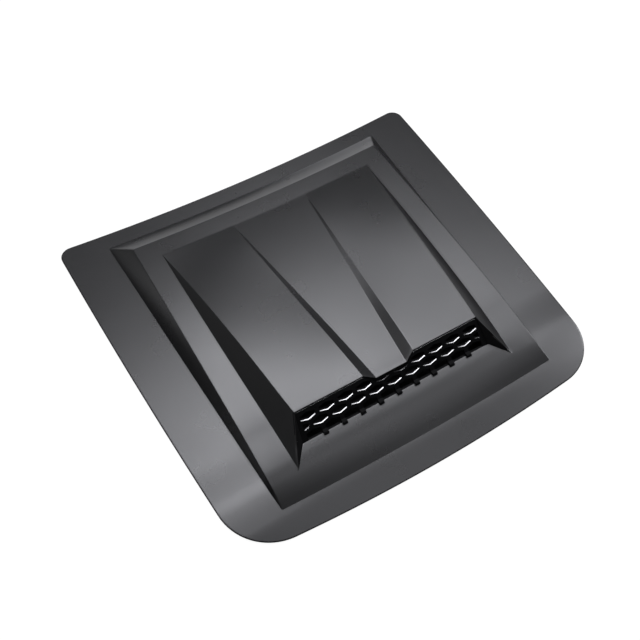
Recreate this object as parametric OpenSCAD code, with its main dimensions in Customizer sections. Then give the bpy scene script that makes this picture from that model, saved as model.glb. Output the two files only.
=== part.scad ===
// Bonnet scoop: a moulded shell with a raised plinth and a shallow two-lobed scoop,
// a honeycomb grille screwed in behind its mouth, and foam tape under its flange.
// Millimetres, +Z up, mouth facing -Y. Lengths run forward from the middle of the rear edge.

/* [Flange] */
// Width across the rear corners, before they are rounded
flange_rear_w = 784; // [740:1:840]
// Width across the front corners, before they are rounded
flange_front_w = 714; // [690:1:780]
// How far each side bows out between its corners
flange_side_bow = 4.6; // [0:0.2:10]
// How far the rear edge hollows in at its middle
rear_sag = 18; // [0:0.2:30]
// How far the front edge stands forward at its middle
front_bow = 19.6; // [0:0.1:32]
// Radius of the two rear corners
rear_corner_r = 22; // [10:1:40]
// Radius of the two front corners
front_corner_r = 100; // [60:1:120]
// Flange left showing behind the plinth
rear_margin = 36; // [28:1:60]
// Flange left showing in front of the plinth
front_margin = 54; // [40:1:80]

/* [Moulding] */
// Wall thickness of the shell
wall = 3; // [2.5:0.1:4]
// Thickness of the foam tape under the flange
tape_t = 1; // [0.8:0.1:2]
// Width of the foam tape
tape_w = 12; // [8:1:16]
// Distance from the flange's edge to the tape
tape_inset = 7; // [4:1:10]

/* [Plinth] */
// Width of the plinth's foot at its rear
plinth_rear_w = 605; // [580:1:640]
// Width of the plinth's foot at its front
plinth_front_w = 543; // [530:1:580]
// How far each side slopes in from its foot to the flat top, at the rear
side_run_rear = 30.9; // [24:0.1:40]
// How far each side slopes in from its foot to the flat top, at the front
side_run_front = 2.5; // [1.5:0.1:6]
// Length of the plinth from foot to foot
plinth_len = 627; // [600:1:660]
// Length of the sloping face at the rear
rear_bevel_len = 53; // [40:1:70]
// Height of the crest above the flange
plinth_h = 36.5; // [33:0.5:42]
// Distance from the rear top edge forward to the crest
crest_at = 103; // [80:1:140]
// Length of the front over which the plinth rolls down to the flange
roll_len = 176; // [160:1:190]
// Height above the flange at which the roll begins
roll_h = 27.4; // [25:0.2:30]
// How far the plinth's front edge stands forward at its middle
plinth_front_bow = 5.6; // [0:0.2:10]

/* [Scoop] */
// Distance from the plinth's rear top edge to the scoop's rear edge
scoop_set = 38; // [30:1:60]
// Width of the scoop's foot at its rear
scoop_rear_w = 453; // [430:1:470]
// Width of the scoop's foot at the mouth
scoop_front_w = 433; // [420:1:450]
// Lean of the side walls, from the horizontal
side_wall_angle = 44; // [38:1:56]
// Height of the lobes above the flange
lobe_h = 59.2; // [54:0.2:66]
// Distance from the lip of the mouth back to the top of the lobes
lobe_crest_set = 86; // [50:1:110]
// How far the lobes fall towards the middle, halfway along
lobe_dip = 7; // [0:0.5:9]
// Height of the centre panel above the flange, at the lip
panel_h = 50.6; // [48:0.2:53]
// Width between the lobes at the scoop's rear edge
channel_rear_w = 161; // [150:1:180]
// Width between the lobes at the lip
channel_front_w = 101; // [95:1:120]
// Width of the centre panel at the lip
panel_front_w = 61; // [50:1:70]

/* [Mouth] */
// Distance from the plinth's front edge back to the feet of the mouth
mouth_set = 47; // [42:1:56]
// Distance from the feet of the mouth back to its lip
lip_set = 73; // [66:1:82]
// Distance from the feet of the mouth back to the sill that the grille stands on
sill_set = 34; // [30:1:39]
// Distance from the scoop's foot at the mouth in to each end of the sill
cheek_set = 27.5; // [24:0.5:33]
// How far the lip covers the grille's top edge
lip_cover = 2.5; // [2:0.5:6]

/* [Grille] */
// Thickness of the grille
grille_t = 5; // [4:0.5:6]
// Number of rows of cells
cell_rows = 3; // [2:1:3]
// Distance between neighbouring cells of one row
cell_pitch = 36.4; // [30:0.2:44]
// Width of the upright ribs
rib_w = 8.9; // [6:0.1:11]
// Height from one row of cells to the next
row_pitch = 11.4; // [11:0.1:13]
// Height of the zigzag bars between the rows
bar_h = 4; // [3:0.1:5]
// Drop of each zigzag from its shoulder to its point
zigzag_drop = 3.3; // [2:0.1:5]
// Solid grille left at each end of the sill, outside the field of cells
end_rail = 11.5; // [8:0.5:20]
// Height of the frame above the cells
top_rail = 4; // [3:0.5:6]
// How far the ribs' feet stand forward on the floor of the mouth
rib_foot_l = 5; // [3:0.5:7]
// Height of the ribs' feet
rib_foot_h = 4; // [3:0.5:6]
// Thickness of the strip that hangs behind the sill
strip_t = 4; // [3:0.5:5]
// Clearance between the grille and the shell around it
seat_gap = 0.3; // [0.1:0.1:0.5]

/* [Fixings] */
// Number of screws along the sill
screw_count = 5; // [3:1:5]
// Distance from each end of the sill to the nearest screw
screw_end = 25; // [15:1:60]
// Outer diameter of the screws' thread
screw_d = 4.2; // [3.5:0.1:4.8]
// Length of the screws under the head
screw_l = 13; // [12:0.5:14]
// Diameter of the screw heads
screw_head_d = 8; // [7:0.5:9]
// Height of the screw heads
screw_head_h = 2.6; // [2:0.1:3]
// Diameter of the bosses that take the screws
boss_d = 9; // [8:0.5:10]
// Length of the bosses in front of the sill
boss_l = 8; // [7:0.5:9]
// Distance from the sill's edge down to the screws
screw_drop = 10; // [9:0.5:11]
// Margin of the hanging strip below the screws
strip_margin = 5.5; // [5:0.5:7]

/* [Hidden] */

shell_black = "#232425";
grille_black = "#101112";
steel_black = "#3a3b3d";
foam_grey = "#3c3c3a";

// Small overlap that keeps joined solids from only touching
eps = 0.01;
// Clearance all round a screw's thread, in its boss and in the strip
thread_gap = 0.05;
hole_gap = 0.3;
// Recess of the screw heads
recess_l = 4.4;
recess_w = 1;
recess_deep = 1.6;
// Margin by which cutting solids pass what they cut
past = 40;
// How far a form runs on inside the form that carries it
sunk = 3;
// How far the scoop's form starts behind its rear edge
lead_in = 12;
// Length of plinth over which the rear edge's hollow fades out
bend_fade = 290;
// Gap left between the ends of two strips of tape
tape_end_gap = 2;
// Columns across the plinth's top, and rows along the forms
top_cols = 12;
crown_rows = 7;
roll_rows = 10;
scoop_rows = 16;
corner_steps = 10;
edge_steps = 12;
round_fn = 40;

// Heights of the flange's two faces
flange_base = tape_t;
flange_top = tape_t + wall;

// Stations along the part, measured from the middle of the rear edge
foot_y = -rear_margin;
top_y = foot_y - rear_bevel_len;
front_y = foot_y - plinth_len;
nose_y = front_y - front_margin;
scoop_y = top_y - scoop_set;
mouth_foot_y = front_y + mouth_set;
lip_y = mouth_foot_y + lip_set;
sill_y = mouth_foot_y + sill_set;

// Curvatures of the bowed edges, as offset over distance from the centre line squared
rear_bend = rear_sag / pow(flange_rear_w / 2, 2);
nose_bend = front_bow / pow(flange_front_w / 2, 2);
front_bend = plinth_front_bow / pow(plinth_front_w / 2, 2);

function along(y, y0, y1) = (y - y0) / (y1 - y0);
function mix(a, b, t) = a + (b - a) * t;
function unit(v) = v / norm(v);

// Width of the sill, width across the whole field of cells, and even spacing of the screws
sill_w = scoop_front_w - 2 * cheek_set;
field_w = sill_w - 2 * end_rail;
screw_pitch = (sill_w - 2 * screw_end) / (screw_count - 1);

// Lengthwise profile of the plinth: a shallow crown, then a tighter roll down to the flange
roll_at = plinth_len - rear_bevel_len - roll_len;
crown_fall = (plinth_h - roll_h) / pow(roll_at - crest_at, 2);
roll_slope = 2 * crown_fall * (roll_at - crest_at);
roll_fall = (roll_h - roll_slope * roll_len) / pow(roll_len, 2);
function crown_z(d) = plinth_h - crown_fall * pow(d - crest_at, 2);
function rolled_z(e) = max(0, roll_h - roll_slope * e - roll_fall * e * e);
function plinth_rise(y) = top_y - y < roll_at ? crown_z(top_y - y) : rolled_z(top_y - y - roll_at);
function plinth_z(y) = flange_top + plinth_rise(y);

// Lengthwise profiles of the lobes and the centre panel, each landing on the plinth at its rear
lobe_crest_y = lip_y + lobe_crest_set;
lobe_fall = (lobe_h - plinth_rise(scoop_y)) / pow(scoop_y - lobe_crest_y, 2);
panel_fall = (panel_h - plinth_rise(scoop_y)) / pow(scoop_y - lip_y, 2);
function lobe_z(y) = flange_top + lobe_h - lobe_fall * pow(lobe_crest_y - y, 2);
function panel_z(y) = flange_top + panel_h - panel_fall * pow(lip_y - y, 2);
function lobe_share(y) = min(1, max(0, along(y, scoop_y, lip_y)));
function lobe_inner_z(y) =
    max(panel_z(y), lobe_z(y) - lobe_dip * pow(sin(180 * lobe_share(y)), 1.5));

// Half widths along the part
function plinth_foot_x(y) = mix(plinth_rear_w, plinth_front_w, along(y, foot_y, front_y)) / 2;
function plinth_top_x(y) = plinth_foot_x(y) - mix(side_run_rear, side_run_front, along(y, top_y, front_y));
function wall_foot_x(y) = mix(scoop_rear_w, scoop_front_w, pow(along(y, scoop_y, mouth_foot_y), 2)) / 2;
function lobe_inner_x(y) = mix(channel_rear_w, channel_front_w, along(y, scoop_y, lip_y)) / 2;
function panel_x(y) = mix(channel_rear_w - sunk, panel_front_w, along(y, scoop_y, lip_y)) / 2;
wall_run = 1 / tan(side_wall_angle);
function lobe_outer_x(y) = wall_foot_x(y) - wall_run * (lobe_z(y) - plinth_z(y));

// Rows are bent to follow the rear edge at the back and the plinth's front edge at the front
function bend_at(y) =
    y > mouth_foot_y ? rear_bend * max(0, 1 - max(0, top_y - y) / bend_fade)
                     : front_bend * along(y, mouth_foot_y, front_y);
function bent(x, y, z, k) = [x, y + k * x * x, z];

// Inward shift of an edge that keeps the wall even where a face turns by an angle
function turn_in(angle) = tan(angle / 2);
rear_bevel_angle = atan2(plinth_rise(top_y), rear_bevel_len);
side_bevel_angle = atan2(plinth_rise(top_y), plinth_foot_x(top_y) - plinth_top_x(top_y));

// The mouth: lip and feet lie in one raked plane, and the grille leans up under the lip
sill_z = plinth_z(sill_y);
rake_angle = atan2(lobe_z(lip_y) - plinth_z(mouth_foot_y), lip_y - mouth_foot_y);
grille_top_y = lip_y - wall / tan(rake_angle) + lip_cover;
grille_lean = atan2(grille_top_y - sill_y, lobe_z(lip_y) - wall - sill_z);
strip_base = max(flange_base, sill_z - screw_drop - strip_margin);
screw_z = strip_base + strip_margin;

// Each cheek is a plane through a corner of the lip, the mouth's foot and the end of the sill
cheek_end = [sill_w / 2, sill_y, sill_z];
cheek_lip = [lobe_outer_x(lip_y), lip_y, lobe_z(lip_y)] - cheek_end;
cheek_foot = [wall_foot_x(mouth_foot_y), mouth_foot_y, plinth_z(mouth_foot_y)] - cheek_end;
cheek_in = unit(cross(cheek_lip, cheek_foot));
cheek_normal = cheek_in * (cheek_in[0] < 0 ? 1 : -1);

// Arc that rounds one corner of a polygon whose corners go round anticlockwise
function corner_arc(before, corner, after, r) =
    let (a = unit(before - corner),
         b = unit(after - corner),
         half = acos(a * b) / 2,
         centre = corner + unit(a + b) * r / sin(half),
         start = atan2(a[0], -a[1]))
    [for (s = [0 : corner_steps])
        centre + r * [cos(start + (180 - 2 * half) * s / corner_steps),
                      sin(start + (180 - 2 * half) * s / corner_steps)]];

// Points spread along one straight of a polygon, so that it can be bowed
function spread(p, q) = [for (s = [1 : edge_steps - 1]) mix(p, q, s / edge_steps)];

function bow(p) =
    let (t = along(p[1], 0, nose_y),
         side = flange_side_bow * (1 - pow(2 * t - 1, 2)))
    [p[0] * (1 + 2 * side / flange_rear_w), p[1] + mix(rear_bend, nose_bend, t) * p[0] * p[0]];

// Outline of the flange, drawn in by an inset: hollow rear, full front, slightly full sides
function flange_outline(inset) =
    let (rear_x = flange_rear_w / 2 - inset,
         front_x = flange_front_w / 2 - inset,
         corners = [[-rear_x, -inset], [-front_x, nose_y + inset],
                    [front_x, nose_y + inset], [rear_x, -inset]],
         radii = [rear_corner_r, front_corner_r, front_corner_r, rear_corner_r])
    [for (i = [0 : 3])
        let (arc = corner_arc(corners[(i + 3) % 4], corners[i], corners[(i + 1) % 4],
                              max(eps, radii[i] - inset)),
             next = corner_arc(corners[i], corners[(i + 1) % 4], corners[(i + 2) % 4],
                               max(eps, radii[(i + 1) % 4] - inset)))
        for (p = concat(arc, spread(arc[corner_steps], next[0]))) bow(p)];

// Shift that brings the middle of the outline's length over the origin
rearmost = max([for (p = flange_outline(0)) p[1]]);
foremost = min([for (p = flange_outline(0)) p[1]]);
centre_shift = -(rearmost + foremost) / 2;

// Two triangles of a four-cornered face, split the other way round when flipped
function quad(p, q, r, s, flip = false) = flip ? [[p, q, s], [q, r, s]] : [[p, q, r], [p, r, s]];

// A closed solid under a grid of points; its rows run forward and its columns to +X
module solid_under(top, base) {
    rows = len(top);
    cols = len(top[0]);
    n = rows * cols;
    points = concat([for (row = top) for (p = row) p],
                    [for (row = top) for (p = row) [p[0], p[1], base]]);
    skins = [for (i = [0 : rows - 2]) for (j = [0 : cols - 2])
                let (a = i * cols + j, b = a + cols, flip = j >= (cols - 1) / 2)
                for (f = concat(quad(a, a + 1, b + 1, b, flip),
                                quad(n + a, n + b, n + b + 1, n + a + 1))) f];
    ends = [for (j = [0 : cols - 2])
                let (a = j, b = (rows - 1) * cols + j)
                for (f = concat(quad(a + 1, a, n + a, n + a + 1),
                                quad(b, b + 1, n + b + 1, n + b))) f];
    sides = [for (i = [0 : rows - 2])
                let (a = i * cols, b = a + cols - 1)
                for (f = concat(quad(a, a + cols, n + a + cols, n + a),
                                quad(b + cols, b, n + b, n + b + cols))) f];
    polyhedron(points = points, faces = concat(skins, ends, sides), convexity = 6);
}

// One row across the plinth: foot, flat top, foot
function plinth_row(y, top_x, foot_x, z, foot_z, k) =
    concat([bent(-foot_x, y, foot_z, k)],
           [for (j = [0 : top_cols]) bent(mix(-top_x, top_x, j / top_cols), y, z, k)],
           [bent(foot_x, y, foot_z, k)]);

// The plinth as a solid standing on a base; an inset makes the hollow inside it
module plinth_form(inset, base) {
    side_in = inset * turn_in(side_bevel_angle);
    rear_in = inset * turn_in(rear_bevel_angle);
    stations = concat([for (i = [0 : crown_rows]) top_y - roll_at * i / crown_rows],
                      [for (i = [1 : roll_rows]) top_y - roll_at - roll_len * i / roll_rows]);
    foot_z = flange_top - inset;
    rear = plinth_row(foot_y - rear_in, plinth_top_x(top_y) - side_in,
                      plinth_foot_x(foot_y) - side_in, foot_z, foot_z, rear_bend);
    solid_under(concat([rear],
                       [for (y = stations)
                           plinth_row(y == top_y ? y - rear_in : y, plinth_top_x(y) - side_in,
                                      plinth_foot_x(y) - side_in, plinth_z(y) - inset,
                                      foot_z, bend_at(y))]),
                base);
}

// One row across the scoop, from wall foot to wall foot over lobe, channel, panel and back
function scoop_row(y, inset) =
    let (side_in = inset * turn_in(side_wall_angle),
         foot_x = wall_foot_x(y) - side_in + wall_run * sunk,
         half = [[foot_x, plinth_z(y) - inset - sunk],
                 [min(lobe_outer_x(y) - side_in, foot_x - eps), lobe_z(y) - inset],
                 [lobe_inner_x(y), lobe_inner_z(y) - inset],
                 [panel_x(y), panel_z(y) - inset]],
         n = len(half) - 1)
    concat([for (i = [0 : n]) bent(-half[i][0], y, half[i][1], bend_at(y))],
           [for (i = [0 : n]) bent(half[n - i][0], y, half[n - i][1], bend_at(y))]);

// The scoop as a solid that runs on forward of its mouth, for planes to cut
module scoop_form(inset, base) {
    start = scoop_y + lead_in - inset;
    stop = mouth_foot_y - sunk;
    solid_under([for (i = [0 : scoop_rows]) scoop_row(mix(start, stop, i / scoop_rows), inset)],
                base);
}

// All space above the raked plane through the lip and the feet of the mouth
module above_mouth() {
    translate([-plinth_len / 2, mouth_foot_y, plinth_z(mouth_foot_y)])
        rotate([rake_angle, 0, 0])
            translate([0, -past, 0])
                cube([plinth_len, plinth_len / 2, past]);
}

// Space in front of the grille's leaning face, moved back along its normal
module before_grille(back) {
    translate([-plinth_len / 2, sill_y, sill_z])
        rotate([-grille_lean, 0, 0])
            translate([0, back - plinth_len, -3 * past])
                cube([plinth_len, plinth_len, 6 * past]);
}

// Space inside the plane of the right cheek, moved outwards by a distance
module inside_cheek(grow) {
    translate(cheek_end - grow * cheek_normal)
        rotate([0, acos(cheek_normal[2]), atan2(cheek_normal[1], cheek_normal[0])])
            translate([-plinth_len / 2, -plinth_len / 2, 0])
                cube(plinth_len);
}

module between_cheeks(grow) {
    intersection() {
        inside_cheek(grow);
        mirror([1, 0, 0])
            inside_cheek(grow);
    }
}

// The open space of the mouth, from the grille forward
module mouth_space() {
    difference() {
        intersection() {
            scoop_form(wall, -past);
            before_grille(0);
            between_cheeks(0);
        }
        plinth_form(0, -2 * past);
    }
}

// The hollow under the shell; the floor and cheeks of the mouth are left standing in it
module underside_hollow() {
    plinth_form(wall, -past);
    difference() {
        scoop_form(wall, -past);
        intersection() {
            before_grille(0);
            between_cheeks(wall);
        }
    }
}

// Places children at each screw, with +Z pointing back along the screw
module at_screws() {
    for (i = [0 : screw_count - 1])
        translate([(i - (screw_count - 1) / 2) * screw_pitch, sill_y, screw_z])
            rotate([-90, 0, 0])
                children();
}

module scoop_shell() {
    color(shell_black)
        difference() {
            union() {
                difference() {
                    union() {
                        translate([0, centre_shift, flange_base])
                            linear_extrude(height = wall)
                                polygon(flange_outline(0));
                        translate([0, centre_shift, 0]) {
                            plinth_form(0, flange_base + wall / 2);
                            difference() {
                                scoop_form(0, flange_base + wall / 2);
                                above_mouth();
                            }
                        }
                    }
                    translate([0, centre_shift, 0]) {
                        underside_hollow();
                        mouth_space();
                    }
                }
                translate([0, centre_shift, 0])
                    sill_return();
            }
            translate([0, centre_shift, 0])
                at_screws()
                    translate([0, 0, -wall - boss_l - eps])
                        cylinder(h = wall + boss_l + 2 * eps, d = screw_d + 2 * thread_gap, $fn = round_fn);
        }
}

// Wall that hangs from the sill's edge, with the screw bosses in front of it
module sill_return() {
    translate([-sill_w / 2, sill_y - wall, strip_base])
        cube([sill_w, wall, sill_z - wall / 2 - strip_base]);
    at_screws()
        translate([0, 0, -wall - boss_l])
            cylinder(h = wall / 2 + boss_l, d = boss_d, $fn = round_fn);
}

// Outline of one cell about its centre; cells of the bottom row run square down to the sill
function cell_outline(foot) =
    let (half_w = (cell_pitch - rib_w) / 2,
         half_h = (row_pitch - bar_h + zigzag_drop) / 2,
         shoulder = half_h - 2 * zigzag_drop * half_w / cell_pitch)
    concat([[half_w, shoulder], [0, half_h], [-half_w, shoulder]],
           foot ? [[-half_w, -half_h], [half_w, -half_h]]
                : [[-half_w, -shoulder], [0, -half_h], [half_w, -shoulder]]);

// The field of cells, as seen from the front with the sill's edge at height 0
module cell_field() {
    half_h = (row_pitch - bar_h + zigzag_drop) / 2;
    reach = ceil(field_w / cell_pitch / 2);
    for (row = [0 : cell_rows - 1])
        for (i = [-reach : reach])
            let (x = (i + (row % 2 == 0 ? 0.5 : 0)) * cell_pitch)
            if (abs(x) - (cell_pitch - rib_w) / 2 < field_w / 2 - 1)
                intersection() {
                    translate([x, half_h + row * row_pitch])
                        polygon(cell_outline(row == 0));
                    translate([-field_w / 2, 0])
                        square([field_w, 3 * cell_rows * row_pitch]);
                }
}

// Leaning plate behind the cheeks and under the roof, cleared from them by a gap
module leaning_plate() {
    intersection() {
        difference() {
            scoop_form(wall + seat_gap, -past);
            before_grille(seat_gap);
        }
        before_grille(seat_gap + grille_t);
        translate([-plinth_len / 2, sill_y - past, sill_z])
            cube([plinth_len, 3 * past, 2 * past]);
    }
}

// Through cuts of the cells, kept under the top rail
module cell_cuts() {
    intersection() {
        translate([0, sill_y + 2 * past, sill_z])
            rotate([90, 0, 0])
                linear_extrude(height = 3 * past)
                    cell_field();
        scoop_form(wall + top_rail, -past);
    }
}

// Feet that carry the ribs of the bottom row forward onto the floor
module rib_feet() {
    reach = floor((field_w / 2 - rib_w / 2) / cell_pitch);
    side = [[0, seat_gap], [-rib_foot_l, seat_gap], [-rib_foot_l, rib_foot_h / 2],
            [-rib_foot_l / 2, rib_foot_h], [rib_foot_h, rib_foot_h], [rib_foot_h, seat_gap]];
    for (i = [-reach : reach])
        translate([i * cell_pitch - rib_w / 2, sill_y, sill_z])
            rotate([90, 0, 90])
                linear_extrude(height = rib_w)
                    polygon(side);
}

module grille_insert() {
    color(grille_black)
        translate([0, centre_shift, 0])
            difference() {
                union() {
                    difference() {
                        leaning_plate();
                        cell_cuts();
                    }
                    rib_feet();
                    translate([-sill_w / 2, sill_y, strip_base])
                        cube([sill_w, strip_t, sill_z + eps - strip_base]);
                }
                at_screws()
                    translate([0, 0, -eps])
                        cylinder(h = strip_t + 2 * eps, d = screw_d + 2 * hole_gap, $fn = round_fn);
            }
}

module grille_screws() {
    color(steel_black)
        translate([0, centre_shift, 0])
            at_screws()
                translate([0, 0, strip_t])
                    difference() {
                        union() {
                            cylinder(h = screw_head_h, d1 = screw_head_d, d2 = screw_head_d - 2, $fn = round_fn);
                            translate([0, 0, -screw_l])
                                cylinder(h = screw_l + eps, d = screw_d, $fn = round_fn);
                        }
                        translate([0, 0, screw_head_h - recess_deep]) {
                            translate([-recess_l / 2, -recess_w / 2, 0])
                                cube([recess_l, recess_w, recess_deep + eps]);
                            translate([-recess_w / 2, -recess_l / 2, 0])
                                cube([recess_w, recess_l, recess_deep + eps]);
                        }
                    }
}

// Band of tape that follows the flange's edge, kept inside a box given by two corners
module tape_band(lo, hi) {
    color(foam_grey)
        translate([0, centre_shift, 0])
            linear_extrude(height = tape_t)
                intersection() {
                    difference() {
                        polygon(flange_outline(tape_inset));
                        polygon(flange_outline(tape_inset + tape_w));
                    }
                    translate(lo)
                        square(hi - lo);
                }
}

// Ends of the straight runs of tape, clear of the rounded corners
tape_side_x = flange_front_w / 2 - front_corner_r;
tape_front_y = nose_y + front_corner_r;
tape_rear_x = flange_rear_w / 2 - rear_corner_r - tape_inset - tape_w;
tape_rear_y = -rear_corner_r - tape_inset - tape_end_gap;

module tape_rear() {
    tape_band([-tape_rear_x, tape_rear_y], [tape_rear_x, past]);
}

module tape_front() {
    tape_band([-tape_side_x, nose_y - past], [tape_side_x, tape_front_y]);
}

module tape_right() {
    tape_band([tape_side_x, tape_front_y], [flange_rear_w, tape_rear_y]);
}

module tape_left() {
    tape_band([-flange_rear_w, tape_front_y], [-tape_side_x, tape_rear_y]);
}

scoop_shell();
grille_insert();
grille_screws();
tape_rear();
tape_front();
tape_left();
tape_right();
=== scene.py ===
"""Dresses the bonnet scoop: a smooth moulded shell, its honeycomb grille, screws and foam tape."""

import math

import bmesh
import bpy
from bpy.props import FloatProperty, FloatVectorProperty, IntProperty, PointerProperty
from mathutils import Matrix, Vector


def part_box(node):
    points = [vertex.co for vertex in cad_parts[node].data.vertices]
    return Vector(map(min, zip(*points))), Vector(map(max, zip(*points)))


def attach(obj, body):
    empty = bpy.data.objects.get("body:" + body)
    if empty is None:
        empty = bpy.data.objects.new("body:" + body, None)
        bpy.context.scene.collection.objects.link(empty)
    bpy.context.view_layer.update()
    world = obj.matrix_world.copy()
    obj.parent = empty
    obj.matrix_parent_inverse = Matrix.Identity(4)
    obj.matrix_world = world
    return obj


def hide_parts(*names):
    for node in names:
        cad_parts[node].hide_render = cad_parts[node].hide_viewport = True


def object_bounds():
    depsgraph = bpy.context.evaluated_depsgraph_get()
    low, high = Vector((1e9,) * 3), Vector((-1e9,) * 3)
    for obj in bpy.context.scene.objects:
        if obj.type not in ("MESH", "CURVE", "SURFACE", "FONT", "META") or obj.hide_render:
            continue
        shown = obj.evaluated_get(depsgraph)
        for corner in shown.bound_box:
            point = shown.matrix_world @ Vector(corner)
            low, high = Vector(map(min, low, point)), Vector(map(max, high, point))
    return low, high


bl_info = {
    "name": "Bonnet Scoop",
    "version": (1, 0, 0),
    "blender": (4, 5, 0),
    "location": "View3D > Sidebar > Scoop",
    "description": "Builds a bonnet scoop with its grille, fixings and a plain studio",
    "category": "Add Mesh",
}

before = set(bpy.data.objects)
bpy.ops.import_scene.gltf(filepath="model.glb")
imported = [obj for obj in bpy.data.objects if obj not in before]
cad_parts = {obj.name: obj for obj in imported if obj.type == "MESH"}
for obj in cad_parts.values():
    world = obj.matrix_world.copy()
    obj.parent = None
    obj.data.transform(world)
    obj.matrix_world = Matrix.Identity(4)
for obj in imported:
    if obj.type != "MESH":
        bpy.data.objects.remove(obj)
CAD_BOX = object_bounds()

MM = 0.001
# Points nearer than this are one point
WELD = 2e-5
# Shorter stretches have no direction of their own
TINY = 1e-7
# Length in front of the rear top edge over which the rows straighten
BEND_FADE = 290 * MM
# How much narrower the centre panel starts than the gap between the lobes
CHANNEL_START = 3 * MM
# Rows drawn together over the start of the scoop, and how far they reach to each side of it
CREASE_ROWS = 8
CREASE_REACH = 8 * MM
# Strip of the plinth beside the scoop's foot that belongs to each row
ROW_MARGIN = 5 * MM
# Steps over the wall, the lobe, the channel and half the centre panel in each row
ROW_STEPS = (2, 10, 3, 8)
# Stations before the mouth's feet at which the outer loops turn their front corners
EARLY_TURN = 14
# Distance from the plinth's front foot back to the front edge of its top
NOSE_SET_IN = 14 * MM
# Radius of the plinth's upright corners as a share of the hip radius, at the rear foot and in front
REAR_HIP = 1.3
FRONT_HIP = 0.6
# Depth of the moulded grain
GRAIN_DEPTH = 0.1 * MM


def length(name, description, default_mm):
    """A size in the sidebar, given here in millimetres."""
    return FloatProperty(
        name=name,
        description=description,
        default=default_mm * MM,
        unit="LENGTH",
        precision=4,
    )


def whole_number(name, description, default, least):
    """A whole number in the sidebar, with the least that it may be."""
    return IntProperty(name=name, description=description, default=default, min=least)


def colour_choice(name, description, default):
    """A colour in the sidebar."""
    return FloatVectorProperty(
        name=name,
        description=description,
        default=default,
        subtype="COLOR",
        size=4,
        min=0,
        max=1,
    )


class ShellSizes(bpy.types.PropertyGroup):
    """Sizes of the moulded shell; lengths run forward from the middle of the rear edge."""

    flange_rear_w: length("Flange Rear Width", "Width across the rear corners before rounding", 784)
    flange_front_w: length("Flange Front Width", "Width across the front corners before rounding", 714)
    flange_side_bow: length("Side Bow", "How far each side of the flange bows out", 4.6)
    rear_sag: length("Rear Hollow", "How far the rear edge hollows in", 18)
    front_bow: length("Front Bow", "How far the front edge stands forward", 19.6)
    rear_corner_r: length("Rear Corner Radius", "Radius of the rear corners", 22)
    front_corner_r: length("Front Corner Radius", "Radius of the front corners", 100)
    rear_margin: length("Rear Margin", "Flange behind the plinth", 36)
    front_margin: length("Front Margin", "Flange in front of the plinth", 54)
    wall: length("Wall", "Wall thickness of the moulding", 3)
    tape_t: length("Tape Thickness", "Thickness of the foam tape", 1)
    plinth_rear_w: length("Plinth Rear Width", "Width of the plinth's foot at its rear", 605)
    plinth_front_w: length("Plinth Front Width", "Width of the plinth's foot at its front", 543)
    side_run_rear: length("Rear Side Run", "How far each side slopes in at the rear", 30.9)
    side_run_front: length("Front Side Run", "How far each side slopes in at the front", 2.5)
    plinth_len: length("Plinth Length", "Length of the plinth from foot to foot", 627)
    rear_bevel_len: length("Rear Slope", "Length of the sloping face at the rear", 53)
    plinth_h: length("Plinth Height", "Height of the crest above the flange", 36.5)
    crest_at: length("Crest Position", "Distance from the rear top edge to the crest", 103)
    roll_len: length("Roll Length", "Length of the front over which the plinth rolls down", 176)
    roll_h: length("Roll Height", "Height above the flange at which the roll begins", 27.4)
    plinth_front_bow: length("Plinth Front Bow", "How far the plinth's front edge stands forward", 5.6)
    scoop_set: length("Scoop Set-in", "Distance from the rear top edge to the scoop", 38)
    scoop_rear_w: length("Scoop Rear Width", "Width of the scoop's foot at its rear", 453)
    scoop_front_w: length("Scoop Front Width", "Width of the scoop's foot at the mouth", 433)
    side_wall_angle: FloatProperty(
        name="Side Wall Lean",
        description="Lean of the scoop's side walls from the horizontal",
        default=math.radians(44),
        subtype="ANGLE",
    )
    lobe_h: length("Lobe Height", "Height of the lobes above the flange", 59.2)
    lobe_crest_set: length("Lobe Crest Set-back", "Distance from the lip back to the top of the lobes", 86)
    lobe_dip: length("Lobe Dip", "How far the lobes fall away towards the middle", 7)
    panel_h: length("Panel Height", "Height of the centre panel at the lip", 50.6)
    channel_rear_w: length("Channel Rear Width", "Width between the lobes at the rear", 161)
    channel_front_w: length("Channel Front Width", "Width between the lobes at the lip", 101)
    panel_front_w: length("Panel Front Width", "Width of the centre panel at the lip", 61)
    mouth_set: length("Mouth Set-back", "Distance from the plinth's front edge to the mouth's feet", 47)
    lip_set: length("Lip Set-back", "Distance from the feet of the mouth back to its lip", 73)
    sill_set: length("Sill Set-back", "Distance from the feet of the mouth back to the sill", 34)
    cheek_set: length("Cheek Set-in", "Distance from the scoop's foot in to each end of the sill", 27.5)
    boss_d: length("Boss Diameter", "Diameter of the bosses that take the screws", 9)
    boss_l: length("Boss Length", "Length of the bosses in front of the sill", 8)
    screw_count: whole_number("Screws", "Number of screws along the sill", 5, 2)
    foot_fillet: length("Foot Fillet", "Radius between the flange and the plinth", 1.4)
    top_edge_r: length("Top Edge Radius", "Radius along the plinth's upper edge", 1.6)
    hip_r: length("Hip Radius", "Radius of the plinth's upright corners", 4)
    wall_fillet: length("Wall Fillet", "Radius along the foot of the scoop's walls", 1.2)
    lobe_edge_r: length("Lobe Edge Radius", "Radius along the outer edge of each lobe", 1.3)
    channel_r: length("Channel Radius", "Radius along the edges of the channels", 2)
    rim_r: length("Rim Radius", "Radius along the flange's rim", 1.45)
    lip_r: length("Lip Radius", "Radius along the mouth's lip", 0.9)
    crease_r: length("Rear Crease Softness", "Half the length over which the scoop starts", 1.5)


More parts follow.
